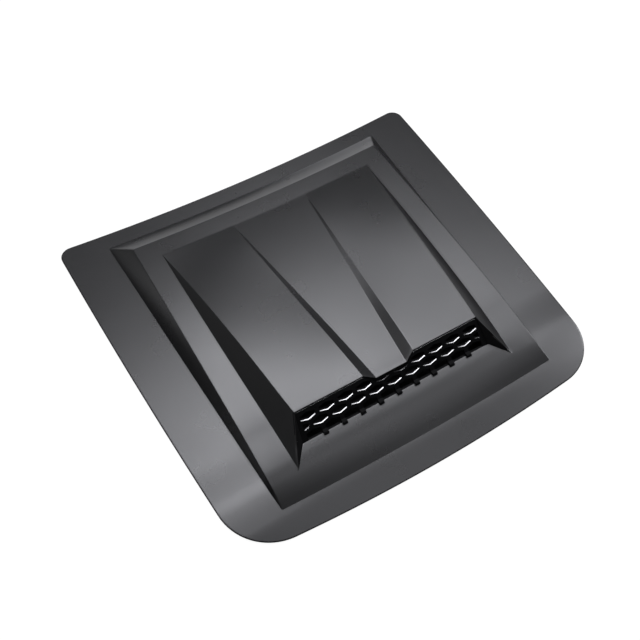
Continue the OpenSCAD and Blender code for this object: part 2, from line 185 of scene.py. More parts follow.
class Finishes(bpy.types.PropertyGroup):
    """Colours and gloss of the scoop's materials."""

    shell_colour: colour_choice("Shell Colour", "Colour of the moulded shell", (0.0050, 0.0050, 0.0054, 1))
    grille_colour: colour_choice("Grille Colour", "Colour of the grille", (0.0020, 0.0020, 0.0022, 1))
    shell_roughness: FloatProperty(
        name="Shell Roughness",
        description="Roughness of the shell's satin grain",
        default=0.28,
        min=0,
        max=1,
    )
    floor_colour: colour_choice("Floor Colour", "Colour of the studio floor", (0.5, 0.5, 0.5, 1))


class MeshDetail(bpy.types.PropertyGroup):
    """How finely the shell is divided."""

    rows: whole_number("Rows", "Rows along the scoop", 72, 24)
    arc: whole_number("Arc Steps", "Steps round each rounded edge", 6, 2)
    sill: whole_number("Sill Steps", "Steps along the sill", 30, 4)
    cheek: whole_number("Cheek Steps", "Steps along the foot of each cheek", 10, 3)
    slope: whole_number("Slope Loops", "Loops over the flange and over each slope", 8, 3)
    inward: whole_number("Top Loops", "Loops between the plinth's edge and the scoop", 12, 2)


def mix(a, b, t):
    """The value a share t of the way from a to b, for numbers and vectors."""
    return a + (b - a) * t


def eased(k, n):
    """Share k/n, drawn towards both ends so that points crowd at the corners."""
    return 0.5 - 0.5 * math.cos(math.pi * k / n)


def conic(start, corner, end, t):
    """Point at share t of the round arc that touches start and end and turns at corner."""
    into = corner - start
    out = end - corner
    weight = 1.0
    if min(into.length, out.length) > TINY:
        # The least weight leaves some roundness in a corner that doubles back
        weight = max(0.2, math.cos(into.angle(out) / 2))
    a = (1 - t) ** 2
    b = 2 * weight * t * (1 - t)
    c = t * t
    return (start * a + corner * b + end * c) / (a + b + c)


class ScoopForm:
    """The scoop's surface as functions of the station along it, from the sizes."""

    def __init__(self, sizes):
        s = self.s = sizes
        self.top = s.tape_t + s.wall
        self.foot_y = -s.rear_margin
        self.top_y = self.foot_y - s.rear_bevel_len
        self.front_y = self.foot_y - s.plinth_len
        self.nose_y = self.front_y - s.front_margin
        self.scoop_y = self.top_y - s.scoop_set
        self.mouth_y = self.front_y + s.mouth_set
        self.lip_y = self.mouth_y + s.lip_set
        self.sill_y = self.mouth_y + s.sill_set
        self.sill_w = s.scoop_front_w - 2 * s.cheek_set
        self.rear_bend = s.rear_sag / (s.flange_rear_w / 2) ** 2
        self.nose_bend = s.front_bow / (s.flange_front_w / 2) ** 2
        self.front_bend = s.plinth_front_bow / (s.plinth_front_w / 2) ** 2
        self.roll_at = s.plinth_len - s.rear_bevel_len - s.roll_len
        self.crown_fall = (s.plinth_h - s.roll_h) / (self.roll_at - s.crest_at) ** 2
        self.roll_slope = 2 * self.crown_fall * (self.roll_at - s.crest_at)
        self.roll_fall = (s.roll_h - self.roll_slope * s.roll_len) / s.roll_len**2
        self.wall_run = 1 / math.tan(s.side_wall_angle)
        self.scoop_len = self.scoop_y - self.lip_y
        self.lobe_crest_at = self.scoop_len - s.lobe_crest_set
        self.lobe_fall = (s.lobe_h - self.rise(self.scoop_y)) / self.lobe_crest_at**2
        self.panel_fall = (s.panel_h - self.rise(self.scoop_y)) / self.scoop_len**2
        self.lip_z = self.lobe_z(self.lip_y)
        self.rake = (self.lip_z - self.plinth_z(self.mouth_y)) / (self.lip_y - self.mouth_y)
        # Stations count from the rear edge, and this brings them to the part's own place
        self.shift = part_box("scoop_shell")[0][1] - self.nose_y

    def rise(self, y):
        """Height of the plinth's top above the flange."""
        s = self.s
        d = self.top_y - y
        if d < self.roll_at:
            return s.plinth_h - self.crown_fall * (d - s.crest_at) ** 2
        e = d - self.roll_at
        return max(0.0, s.roll_h - self.roll_slope * e - self.roll_fall * e * e)

    def plinth_z(self, y):
        """Height of the plinth's top above the bonnet."""
        return self.top + self.rise(y)

    def above_plinth(self, y, height, fall, crest_at):
        """Height of a scoop profile above the plinth, easing in over the rear crease."""
        d = self.scoop_y - y
        soft = self.s.crease_r
        true = 0.0
        if d > 0:
            true = height - fall * (d - crest_at) ** 2 - self.rise(y)
        if abs(d) < soft:
            true += 2 * fall * crest_at * (soft - abs(d)) ** 2 / (4 * soft)
        return max(0.0, true)

    def lobe_above(self, y):
        """Height of a lobe's outer edge above the plinth."""
        return self.above_plinth(y, self.s.lobe_h, self.lobe_fall, self.lobe_crest_at)

    def lobe_z(self, y):
        """Height of a lobe's outer edge above the bonnet."""
        return self.plinth_z(y) + self.lobe_above(y)

    def panel_z(self, y):
        """Height of the centre panel above the bonnet."""
        return self.plinth_z(y) + self.above_plinth(y, self.s.panel_h, self.panel_fall, self.scoop_len)

    def inner_z(self, y):
        """Height of a lobe's inner edge, which dips below the outer edge midway along."""
        share = min(1.0, max(0.0, (self.scoop_y - y) / self.scoop_len))
        dip = self.s.lobe_dip * math.sin(math.pi * share) ** 1.5
        return max(self.panel_z(y), self.lobe_z(y) - dip)

    def foot_x(self, y):
        """Half width of the plinth's foot."""
        return mix(self.s.plinth_rear_w, self.s.plinth_front_w, (self.foot_y - y) / self.s.plinth_len) / 2

    def top_x(self, y):
        """Half width of the plinth's top."""
        share = (self.top_y - y) / (self.top_y - self.front_y)
        return self.foot_x(y) - mix(self.s.side_run_rear, self.s.side_run_front, share)

    def wall_x(self, y):
        """Half width of the scoop's foot."""
        share = max(0.0, (self.scoop_y - y) / (self.scoop_y - self.mouth_y))
        return mix(self.s.scoop_rear_w, self.s.scoop_front_w, share**2) / 2

    def outer_x(self, y):
        """Half width over the outer edges of the lobes."""
        return self.wall_x(y) - self.wall_run * self.lobe_above(y)

    def inner_x(self, y):
        """Half width between the inner edges of the lobes."""
        return mix(self.s.channel_rear_w, self.s.channel_front_w, (self.scoop_y - y) / self.scoop_len) / 2

    def panel_x(self, y):
        """Half width of the centre panel."""
        rear = self.s.channel_rear_w - CHANNEL_START
        return mix(rear, self.s.panel_front_w, (self.scoop_y - y) / self.scoop_len) / 2

    def bend(self, y):
        """Curvature of the row at a station: it follows the rear edge, then the front edge."""
        if y > self.mouth_y:
            return self.rear_bend * max(0.0, 1 - max(0.0, self.top_y - y) / BEND_FADE)
        return self.front_bend * (self.mouth_y - y) / (self.mouth_y - self.front_y)

    def bent(self, x, y, z):
        """The point of a row at a distance from the middle, moved by the row's curve."""
        return Vector((x, y + self.bend(y) * x * x, z))

    def on_plinth(self, x, y):
        """The point of the plinth's top surface over a place in plan."""
        row = y
        # Each round comes nearer to the station whose bent row passes through the place
        for _ in range(5):
            row = y - self.bend(row) * x * x
        return Vector((x, y, self.plinth_z(row)))


def mapped_grid(bm, columns, rows, place):
    """Adds a grid and moves each of its points to place(column, row)."""
    for vert in bmesh.ops.create_grid(bm, x_segments=columns, y_segments=rows, size=1)["verts"]:
        column = round((vert.co.x + 1) / 2 * columns)
        row = round((vert.co.y + 1) / 2 * rows)
        vert.co = place(column, row)


def rounded_corner(points, corner, reach):
    """Rounds one corner of a closed loop of points over a reach to each side."""
    n = len(points)
    tip = points[corner].copy()

    def walk(step):
        """Stations within the reach on one side, and the point where the arc ends."""
        inside = []
        gone = 0.0
        at = corner
        while True:
            here = points[at % n]
            there = points[(at + step) % n]
            stride = (there - here).length
            if gone + stride >= reach:
                return inside, mix(here, there, (reach - gone) / stride)
            gone += stride
            at += step
            inside.append((at % n, gone))

    before, start = walk(-1)
    after, end = walk(1)
    moved = {corner: 0.5}
    for index, gone in before:
        moved[index] = 0.5 - 0.5 * gone / reach
    for index, gone in after:
        moved[index] = 0.5 + 0.5 * gone / reach
    for index, share in moved.items():
        points[index] = conic(start, tip, end, share)


def row_across(form, detail, i, rows):
    """Points of one row over the scoop, from the plinth left of it to the plinth right of it."""
    s = form.s
    # The last quarter of the rows leans more and more, until the last row follows the mouth's rake
    skew_rows = rows // 4
    if i < CREASE_ROWS:
        y = form.scoop_y + CREASE_REACH * (1 - 2 * i / CREASE_ROWS)
    else:
        y = mix(form.scoop_y - CREASE_REACH, form.lip_y, (i - CREASE_ROWS) / (rows - CREASE_ROWS))
    late = max(0.0, (i - (rows - skew_rows)) / skew_rows)
    skew = late * late
    foot_y = mix(y, form.mouth_y, skew)
    wall_x = form.wall_x(foot_y)
    beside = wall_x + ROW_MARGIN
    plinth = form.on_plinth(beside, form.bent(beside, foot_y, 0).y)
    foot = form.bent(wall_x, foot_y, form.plinth_z(foot_y))
    outer = form.bent(form.outer_x(y), y, form.lobe_z(y))
    inner = form.bent(form.inner_x(y), y, form.inner_z(y))
    panel = form.bent(form.panel_x(y), y, form.panel_z(y))
    centre = form.bent(0, y, form.panel_z(y))
    for point in (inner, panel, centre):
        point.y -= skew * (form.lip_z - point.z) / form.rake
    radii = (s.wall_fillet * (1 - skew), s.lobe_edge_r, s.channel_r, s.channel_r)
    # No arc takes more than this share of the stretch on either side of it
    most = 0.45
    path = [plinth, foot, outer, inner, panel, centre]
    touch = []
    for k, radius in enumerate(radii):
        back = path[k] - path[k + 1]
        on = path[k + 2] - path[k + 1]
        reach = 0.0
        if min(back.length, on.length) > TINY:
            turn = math.pi - back.angle(on)
            reach = min(radius * math.tan(turn / 2), most * back.length, most * on.length)
        a = path[k + 1] + back.normalized() * reach
        b = path[k + 1] + on.normalized() * reach
        touch.append((a, path[k + 1], b))
    half = [plinth]
    for k, (a, corner, b) in enumerate(touch):
        for step in range(detail.arc + 1):
            half.append(conic(a, corner, b, step / detail.arc))
        following = touch[k + 1][0] if k + 1 < len(touch) else centre
        for step in range(1, ROW_STEPS[k]):
            half.append(mix(b, following, eased(step, ROW_STEPS[k])))
    half.append(centre)
    left = [Vector((-p.x, p.y, p.z)) for p in half]
    return left + half[-2::-1]


def shell_loops(form, detail, rows_of_points):
    """Closed loops of points from the flange's rim in to the scoop's foot and the sill."""
    s = form.s
    columns = len(rows_of_points[0]) - 1
    rows = len(rows_of_points) - 1
    along = rows - EARLY_TURN
    across = 2 * detail.cheek + detail.sill + 2 * EARLY_TURN

    inner = list(rows_of_points[0])
    inner += [row[-1] for row in rows_of_points[1:]]
    mouth_foot = form.bent(form.wall_x(form.mouth_y), form.mouth_y, form.plinth_z(form.mouth_y))
    sill_end = Vector((form.sill_w / 2, form.sill_y, form.plinth_z(form.sill_y)))
    right_foot = []
    for k in range(detail.cheek):
        plan = mix(mouth_foot, sill_end, k / (detail.cheek - 1))
        right_foot.append(form.on_plinth(plan.x, plan.y))
    sill = []
    for k in range(1, detail.sill):
        x = mix(sill_end.x, -sill_end.x, k / detail.sill)
        sill.append(form.on_plinth(x, form.sill_y))
    inner += right_foot + sill
    inner += [Vector((-p.x, p.y, p.z)) for p in reversed(right_foot)]
    inner += [row[0] for row in reversed(rows_of_points[1:])]

    def loop(rear, side, nose):
        """A closed loop from a rear, a side and a front curve, each a function of a share."""
        points = [rear(eased(k, columns)) for k in range(columns)]
        points += [side(eased(k, along)) for k in range(along)]
        points += [nose(eased(k, across)) for k in range(across)]
        points += [side(eased(along - k, along)) for k in range(along)]
        for index in range(columns + along + across, len(points)):
            points[index].x *= -1
        return points

    def crossing(half, y, bend, z):
        """A line across the part, from its half width, station, curve and height."""

        def point(t):
            x = mix(-1, 1, t) * half
            return Vector((x, y + bend * x * x, z))

        return point

    def rim_side(t):
        """The flange's right edge from rear to front."""
        x = mix(s.flange_rear_w, s.flange_front_w, t) / 2 + s.flange_side_bow * (1 - (2 * t - 1) ** 2)
        y = mix(0.0, form.nose_y, t)
        return Vector((x, y + mix(form.rear_bend, form.nose_bend, t) * x * x, form.top))

    def foot_side(t):
        """The plinth's right foot from rear to front."""
        y = mix(form.foot_y, form.front_y, t)
        x = form.foot_x(y)
        bend = form.bend(y) if t < 1 else form.front_bend
        return Vector((x, y + bend * x * x, form.top))

    def top_side(t):
        """The right edge of the plinth's top from rear to front."""
        y = mix(form.top_y, form.front_y + NOSE_SET_IN, t)
        return form.bent(form.top_x(y), y, form.plinth_z(y))

    rim = loop(
        crossing(s.flange_rear_w / 2, 0.0, form.rear_bend, form.top),
        rim_side,
        crossing(-s.flange_front_w / 2, form.nose_y, form.nose_bend, form.top),
    )
    foot = loop(
        crossing(form.foot_x(form.foot_y), form.foot_y, form.rear_bend, form.top),
        foot_side,
        crossing(-form.foot_x(form.front_y), form.front_y, form.front_bend, form.top),
    )
    back = form.top_y
    front = form.front_y + NOSE_SET_IN
    top = loop(
        crossing(form.top_x(back), back, form.bend(back), form.plinth_z(back)),
        top_side,
        crossing(-form.top_x(front), front, form.bend(front), form.plinth_z(front)),
    )
    corners = (0, columns, columns + along, columns + along + across)
    # The direction of each side of a corner is taken over this many stations
    few = 3
    for points, rear_r, front_r in (
        (rim, s.rear_corner_r, s.front_corner_r),
        (foot, s.hip_r * REAR_HIP, s.hip_r * FRONT_HIP),
        (top, s.hip_r, s.hip_r * FRONT_HIP),
    ):
        for corner, radius in zip(corners, (rear_r, rear_r, front_r, front_r)):
            into = points[corner] - points[corner - few]
            out = points[(corner + few) % len(points)] - points[corner]
            rounded_corner(points, corner, radius * math.tan(into.angle(out) / 2))

    def outward(points, k):
        """Direction in plan that leaves a loop squarely."""
        run = points[(k + 1) % len(points)] - points[k - 1]
        return Vector((-run.y, run.x, 0)).normalized()

    layers = [[] for _ in range(2 * (detail.slope + detail.arc) + 1 + detail.inward)]
    # No fillet takes more than this share of the slope
    most = 0.4
    # The top's own slope is read this far inside its edge
    probe_at = 2 * MM
    for k in range(len(inner)):
        up = top[k] - foot[k]
        away = outward(foot, k)
        flat = Vector((up.x, up.y, 0)).length
        turn = math.atan2(up.z, flat)
        reach = min(s.foot_fillet * math.tan(turn / 2), most * up.length)
        low = foot[k] + away * reach
        path = [mix(rim[k], low, eased(step, detail.slope)) for step in range(detail.slope)]
        foot_end = foot[k] + up.normalized() * reach
        path += [conic(low, foot[k], foot_end, step / detail.arc) for step in range(detail.arc + 1)]
        inwards = -outward(top, k)
        probe = form.on_plinth(top[k].x + inwards.x * probe_at, top[k].y + inwards.y * probe_at)
        level = probe - top[k]
        edge = min(s.top_edge_r * math.tan(up.angle(level) / 2), most * up.length)
        top_start = top[k] - up.normalized() * edge
        top_end = top[k] + level.normalized() * edge
        path += [mix(foot_end, top_start, eased(step, detail.slope)) for step in range(1, detail.slope)]
        path += [conic(top_start, top[k], top_end, step / detail.arc) for step in range(detail.arc + 1)]
        for step in range(1, detail.inward):
            plan = mix(top_end, inner[k], eased(step, detail.inward))
            path.append(form.on_plinth(plan.x, plan.y))
        path.append(inner[k])
        for layer, point in zip(layers, path):
            layer.append(point)
    return layers


def round_edges(bm, edges, radius, segments, clamp):
    """Rounds edges, and keeps the arcs from overlapping if clamp is set."""
    bmesh.ops.bevel(
        bm,
        geom=edges,
        offset=radius,
        offset_type="OFFSET",
        segments=segments,
        profile=0.5,
        affect="EDGES",
        clamp_overlap=clamp,
        material=-1,
    )


def finished_object(name, bm, material, smooth_angle):
    """Turns a bmesh into a linked object with smooth faces, split at sharp edges."""
    for face in bm.faces:
        face.smooth = True
    for edge in bm.edges:
        if len(edge.link_faces) == 2:
            edge.smooth = edge.calc_face_angle(0.0) < smooth_angle
    mesh = bpy.data.meshes.new(name)
    bm.to_mesh(mesh)
    bm.free()
    mesh.materials.append(material)
    obj = bpy.data.objects.new(name, mesh)
    bpy.context.scene.collection.objects.link(obj)
    return obj


def new_material(name):
    """A node material with its shader, ready for wiring."""
    material = bpy.data.materials.new(name)
    material.use_nodes = True
    nodes = material.node_tree.nodes
    return material, nodes, material.node_tree.links, nodes["Principled BSDF"]


def maths(nodes, links, operation, *values, vector=False, result="Value"):
    """Result of a maths node whose inputs are sockets or constants."""
    node = nodes.new("ShaderNodeVectorMath" if vector else "ShaderNodeMath")
    node.operation = operation
    for socket, value in zip(node.inputs, values):
        if isinstance(value, bpy.types.NodeSocket):
            links.new(value, socket)
        else:
            socket.default_value = value
    return node.outputs[result]


def coordinate(nodes, links, source, axis):
    """One coordinate of a vector."""
    split = nodes.new("ShaderNodeSeparateXYZ")
    links.new(source, split.inputs["Vector"])
    return split.outputs[axis]


def add_grain(nodes, links, shader, scale, strength):
    """Fine moulded grain on the surface, from noise in object coordinates."""
    place = nodes.new("ShaderNodeTexCoord")
    grain = nodes.new("ShaderNodeTexNoise")
    grain.inputs["Scale"].default_value = scale
    grain.inputs["Detail"].default_value = 3
    links.new(place.outputs["Object"], grain.inputs["Vector"])
    bump = nodes.new("ShaderNodeBump")
    bump.inputs["Strength"].default_value = strength
    bump.inputs["Distance"].default_value = GRAIN_DEPTH
    links.new(grain.outputs["Fac"], bump.inputs["Height"])
    links.new(bump.outputs["Normal"], shader.inputs["Normal"])
    return place.outputs["Object"], grain.outputs["Fac"]


def add_tone(nodes, links, shader, source, low, high):
    """Colours the shader between two colours by a grey value."""
    tone = nodes.new("ShaderNodeValToRGB")
    for element, position, colour in zip(tone.color_ramp.elements, (0.3, 0.7), (low, high)):
        element.position = position
        element.color = colour
    links.new(source, tone.inputs["Fac"])
    links.new(tone.outputs["Color"], shader.inputs["Base Color"])


def paler(colour, factor):
    """A colour with its red, green and blue raised by a factor."""
    return tuple(min(1.0, part * factor) for part in colour[:3]) + (1,)


def spread_value(nodes, links, source, low, high):
    """Maps a 0 to 1 value to a range."""
    node = nodes.new("ShaderNodeMapRange")
    node.inputs["To Min"].default_value = low
    node.inputs["To Max"].default_value = high
    links.new(source, node.inputs["Value"])
    return node.outputs["Result"]


def add_crown(nodes, links, place, shader, stretches):
    """Turns the shading, not the form, by a height that changes over stretches along the part.

    Each stretch is a start and an end in Y and the rise between them. The grain goes on top of it.
    """
    along = coordinate(nodes, links, place, "Y")
    height = 0.0
    for start, end, rise in stretches:
        step = nodes.new("ShaderNodeMapRange")
        step.interpolation_type = "SMOOTHSTEP"
        step.inputs["From Min"].default_value = start
        step.inputs["From Max"].default_value = end
        step.inputs["To Min"].default_value = 0.0
        step.inputs["To Max"].default_value = rise
        links.new(along, step.inputs["Value"])
        height = maths(nodes, links, "ADD", height, step.outputs["Result"])
    crown = nodes.new("ShaderNodeBump")
    crown.inputs["Strength"].default_value = 1.0
    crown.inputs["Distance"].default_value = 1.0
    links.new(height, crown.inputs["Height"])
    grain_bump = shader.inputs["Normal"].links[0].from_node
    links.new(crown.outputs["Normal"], grain_bump.inputs["Normal"])


def satin_plastic(finishes, form):
    """Black moulded plastic with a fine satin grain and faint cloudiness in its gloss."""
    material, nodes, links, shader = new_material("satin_black_plastic")
    place, grain = add_grain(nodes, links, shader, 1500, 0.12)
    front = form.front_y + form.shift
    nose = form.nose_y + form.shift
    sill = form.sill_y + form.shift
    roll = form.top_y - form.roll_at + form.shift
    ahead = 40 * MM
    stretches = (
        (roll - ahead, sill - ahead, 4 * MM),
        (sill - ahead / 4, nose - ahead / 4, -9 * MM),
        (front, 2 * nose - front, -8 * MM),
    )
    add_crown(nodes, links, place, shader, stretches)
    cloud = nodes.new("ShaderNodeTexNoise")
    cloud.inputs["Scale"].default_value = 9
    cloud.inputs["Detail"].default_value = 4
    links.new(place, cloud.inputs["Vector"])
    rough = finishes.shell_roughness
    spread = 0.03
    gloss = spread_value(nodes, links, cloud.outputs["Fac"], rough - spread, rough + spread)
    links.new(gloss, shader.inputs["Roughness"])
    colour = finishes.shell_colour
    add_tone(nodes, links, shader, grain, colour[:], paler(colour, 1.35))
    return material


def painted_shade_black(finishes):
    """Painted shade: a duller, darker copy of the black plastic on the mouth's cheeks, the lip's underside,
    the hollow and the rim's side, where shade falls.
    """
    material, nodes, links, shader = new_material("painted_shade_black_plastic")
    _, grain = add_grain(nodes, links, shader, 1800, 0.15)
    # The painted shade borrows the grille's darker colour
    colour = finishes.grille_colour
    add_tone(nodes, links, shader, grain, colour[:], paler(colour, 1.5))
    shader.inputs["Roughness"].default_value = 0.6
    shader.inputs["Specular IOR Level"].default_value = 0.12
    return material


def grille_plastic(finishes, facing, band, dull_below):
    """Dull black plastic, with its gloss raised in a band along the front edge of each bar as a painted
    highlight.

    The band is given by the middle and half width of its distance along facing.
    """
    material, nodes, links, shader = new_material("grille_black_plastic")
    place, grain = add_grain(nodes, links, shader, 1800, 0.01)
    colour = finishes.grille_colour
    add_tone(nodes, links, shader, grain, colour[:], paler(colour, 1.5))
    distance = maths(nodes, links, "DOT_PRODUCT", place, facing, vector=True)
    in_band = maths(nodes, links, "COMPARE", distance, *band)
    above = maths(nodes, links, "GREATER_THAN", coordinate(nodes, links, place, "Z"), dull_below)
    # The gloss is raised in the band as a painted highlight, except on the feet
    painted_highlight = maths(nodes, links, "MULTIPLY", in_band, above)
    gloss = (("Roughness", 0.6, 0.2), ("Specular IOR Level", 0.05, 1.0), ("IOR", 1.5, 1.9))
    for socket, dull, highlight_gloss in gloss:
        links.new(spread_value(nodes, links, painted_highlight, dull, highlight_gloss), shader.inputs[socket])
    return material


def screw_steel():
    """Black zinc plating, slightly mottled."""
    material, nodes, links, shader = new_material("black_zinc")
    _, grain = add_grain(nodes, links, shader, 900, 0.08)
    add_tone(nodes, links, shader, grain, (0.045, 0.045, 0.048, 1), (0.10, 0.10, 0.105, 1))
    shader.inputs["Metallic"].default_value = 1.0
    shader.inputs["Roughness"].default_value = 0.38
    return material


def tape_foam():
    """Closed-cell foam with its small pores."""
    material, nodes, links, shader = new_material("closed_cell_foam")
    place = nodes.new("ShaderNodeTexCoord")
    pores = nodes.new("ShaderNodeTexVoronoi")
    pores.inputs["Scale"].default_value = 1400
    links.new(place.outputs["Object"], pores.inputs["Vector"])
    bump = nodes.new("ShaderNodeBump")
    bump.inputs["Strength"].default_value = 0.5
    bump.inputs["Distance"].default_value = 0.2 * MM
    links.new(pores.outputs["Distance"], bump.inputs["Height"])
    links.new(bump.outputs["Normal"], shader.inputs["Normal"])
    pore = (0.020, 0.020, 0.019, 1)
    skin = (0.045, 0.045, 0.043, 1)
    add_tone(nodes, links, shader, pores.outputs["Distance"], pore, skin)
    shader.inputs["Roughness"].default_value = 0.85
    return material


class SCOOP_OT_shell(bpy.types.Operator):
    """Build the moulded shell: flange, plinth, two-lobed scoop, floor, sill and cheeks"""

    bl_idname = "scoop.shell"
    bl_label = "Moulded Shell"

    # Faces that meet at more than the first angle shade apart; cuts turn by more than the second
    shade_angle = math.radians(34)
    cut_angle = math.radians(55)
    cut_steps = 4
    # Bounds for the direction of a face, as parts of its normal
    upright = 0.2
    nearly_level = 0.99
    facing_front = -0.6
    facing_down = -0.3
    # Slot of the painted shade, a duller, darker black on faces in shade
    painted_shade_slot = 1
    # How far the cheek plates stay clear of their corners, as a share of the way to the middle
    cheek_clearance = 0.01
    boss_steps = 32

    def execute(self, context):
        sizes = context.scene.scoop_shell
        detail = context.scene.scoop_detail
        form = ScoopForm(sizes)
        rows = [row_across(form, detail, i, detail.rows) for i in range(detail.rows + 1)]
        layers = shell_loops(form, detail, rows)
        bm = bmesh.new()
        columns = len(rows[0]) - 1
        mapped_grid(bm, columns, detail.rows, lambda c, r: rows[detail.rows - r][c])
        n = len(layers[0])
        depth = len(layers) - 1
        mapped_grid(bm, n, depth, lambda c, r: layers[depth - r][c % n])
        bmesh.ops.remove_doubles(bm, verts=bm.verts[:], dist=WELD)
        self.hang_sill(bm, form)
        self.thicken(bm, sizes)
        self.round_rims(bm, form)
        self.paint_shade_on_hidden(bm, form)
        self.add_cheeks(bm, form)
        self.add_bosses(bm, form)
        bmesh.ops.translate(bm, verts=bm.verts[:], vec=(0, form.shift, 0))
        finishes = context.scene.scoop_finish
        satin = satin_plastic(finishes, form)
        shell = finished_object("scoop_shell_moulding", bm, satin, self.shade_angle)
        # The second slot holds the painted shade
        shell.data.materials.append(painted_shade_black(finishes))
        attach(shell, "root")
        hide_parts("scoop_shell")
        return {"FINISHED"}

    def hang_sill(self, bm, form):
        """Turns the floor down at the sill, as the wall that the grille's strip lies against."""
        limit = form.sill_w / 2 + WELD

        def on_sill(co):
            return abs(co.y - form.sill_y) < WELD and abs(co.x) < limit

        edges = [e for e in bm.edges if e.is_boundary and all(on_sill(v.co) for v in e.verts)]
        made = bmesh.ops.extrude_edge_only(bm, edges=edges)["geom"]
        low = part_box("grille_insert")[0][2]
        for vert in made:
            if isinstance(vert, bmesh.types.BMVert):
                vert.co.z = low

    def thicken(self, bm, sizes):
        """Gives the skin its wall, inwards from the faces that show."""
        bm.normal_update()
        facing = sum(face.normal.z * face.calc_area() for face in bm.faces)
        if facing < 0:
            bmesh.ops.reverse_faces(bm, faces=bm.faces[:])
        bmesh.ops.solidify(bm, geom=bm.faces[:], thickness=sizes.wall)

    def round_rims(self, bm, form):
        """Rounds the cut edges of the wall: the mouth's lip, then the flange's rim."""
        for part, radius in (("lip", form.s.lip_r), ("rim", form.s.rim_r)):
            bm.normal_update()
            edges = [edge for edge in bm.edges if self.cut_part(edge, form) == part]
            round_edges(bm, edges, radius, self.cut_steps, part == "lip")

    def cut_part(self, edge, form):
        """Names the cut that an edge belongs to, which is none for most edges."""
        if len(edge.link_faces) != 2 or edge.calc_face_angle(0.0) < self.cut_angle:
            return ""
        if max(vert.co.z for vert in edge.verts) >= form.top + WELD:
            return "lip"
        on_rim = any(self.faces_out(face, form) for face in edge.link_faces)
        return "rim" if on_rim else ""

    def faces_out(self, face, form):
        """Says whether an upright face looks away from the shell's middle, as only the rim's do."""
        outward = face.calc_center_median() - Vector((0, form.sill_y / 2, 0))
        return abs(face.normal.z) < self.upright and face.normal.dot(outward) > 0

    def paint_shade_on_hidden(self, bm, form):
        """Paints shade: gives the darker, duller black to the rim's side, the hollow inside and the lip's
        underside.
        """
        bm.normal_update()
        floor_z = form.plinth_z(form.sill_y)
        for face in bm.faces:
            middle = face.calc_center_median()
            rim = middle.z < form.top and face.normal.z < self.nearly_level
            at_lip = middle.y < form.lip_y + form.s.wall and middle.z > floor_z
            lip = at_lip and face.normal.y < self.facing_front
            # Faces in shade get the painted shade: the rim's side, the lip's underside and every face that
            # looks down
            if rim or lip or face.normal.z < self.facing_down:
                face.material_index = self.painted_shade_slot

    def add_cheeks(self, bm, form):
        """Closes the sides of the mouth with a leaning plate from lip to foot to sill."""
        s = form.s
        lip = Vector((form.outer_x(form.lip_y), form.lip_y, form.lip_z))
        foot = Vector((form.wall_x(form.mouth_y), form.mouth_y, form.plinth_z(form.mouth_y)))
        sill = Vector((form.sill_w / 2, form.sill_y, form.plinth_z(form.sill_y)))
        middle = (lip + foot + sill) / 3
        for side in (1, -1):
            plate = bmesh.new()
            corners = []
            for corner in (lip, foot, sill):
                drawn_in = mix(corner, middle, self.cheek_clearance)
                corners.append(plate.verts.new((side * drawn_in.x, drawn_in.y, drawn_in.z)))
            face = plate.faces.new(corners)
            plate.normal_update()
            if face.normal.x * side > 0:
                bmesh.ops.reverse_faces(plate, faces=[face])
                plate.normal_update()
            back = -face.normal * s.wall
            made = bmesh.ops.extrude_face_region(plate, geom=[face])["geom"]
            moved = [v for v in made if isinstance(v, bmesh.types.BMVert)]
            bmesh.ops.translate(plate, verts=moved, vec=back)
            bmesh.ops.recalc_face_normals(plate, faces=plate.faces[:])
            # The cheeks take the painted shade all over, as they stand in shade under the lip
            for side_face in plate.faces:
                side_face.material_index = self.painted_shade_slot
            self.join(bm, plate)

    def add_bosses(self, bm, form):
        """Adds the bosses that the grille's screws run into."""
        s = form.s
        low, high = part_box("grille_screws")
        height = (low[2] + high[2]) / 2
        reach = high[0] - (high[2] - low[2]) / 2
        middle_y = form.sill_y - s.wall - s.boss_l / 2
        for k in range(s.screw_count):
            x = mix(-reach, reach, k / (s.screw_count - 1))
            boss = bmesh.new()
            place = Matrix.Translation((x, middle_y, height)) @ Matrix.Rotation(math.radians(90), 4, "X")
            bmesh.ops.create_cone(
                boss,
                cap_ends=True,
                segments=self.boss_steps,
                radius1=s.boss_d / 2,
                radius2=s.boss_d / 2,
                depth=s.boss_l,
                matrix=place,
            )
            self.join(bm, boss)

    @staticmethod
    def join(bm, part):
        """Moves a part's faces into the shell's bmesh."""
        mesh = bpy.data.meshes.new("part")
        part.to_mesh(mesh)
        part.free()
        bm.from_mesh(mesh)
        bpy.data.meshes.remove(mesh)


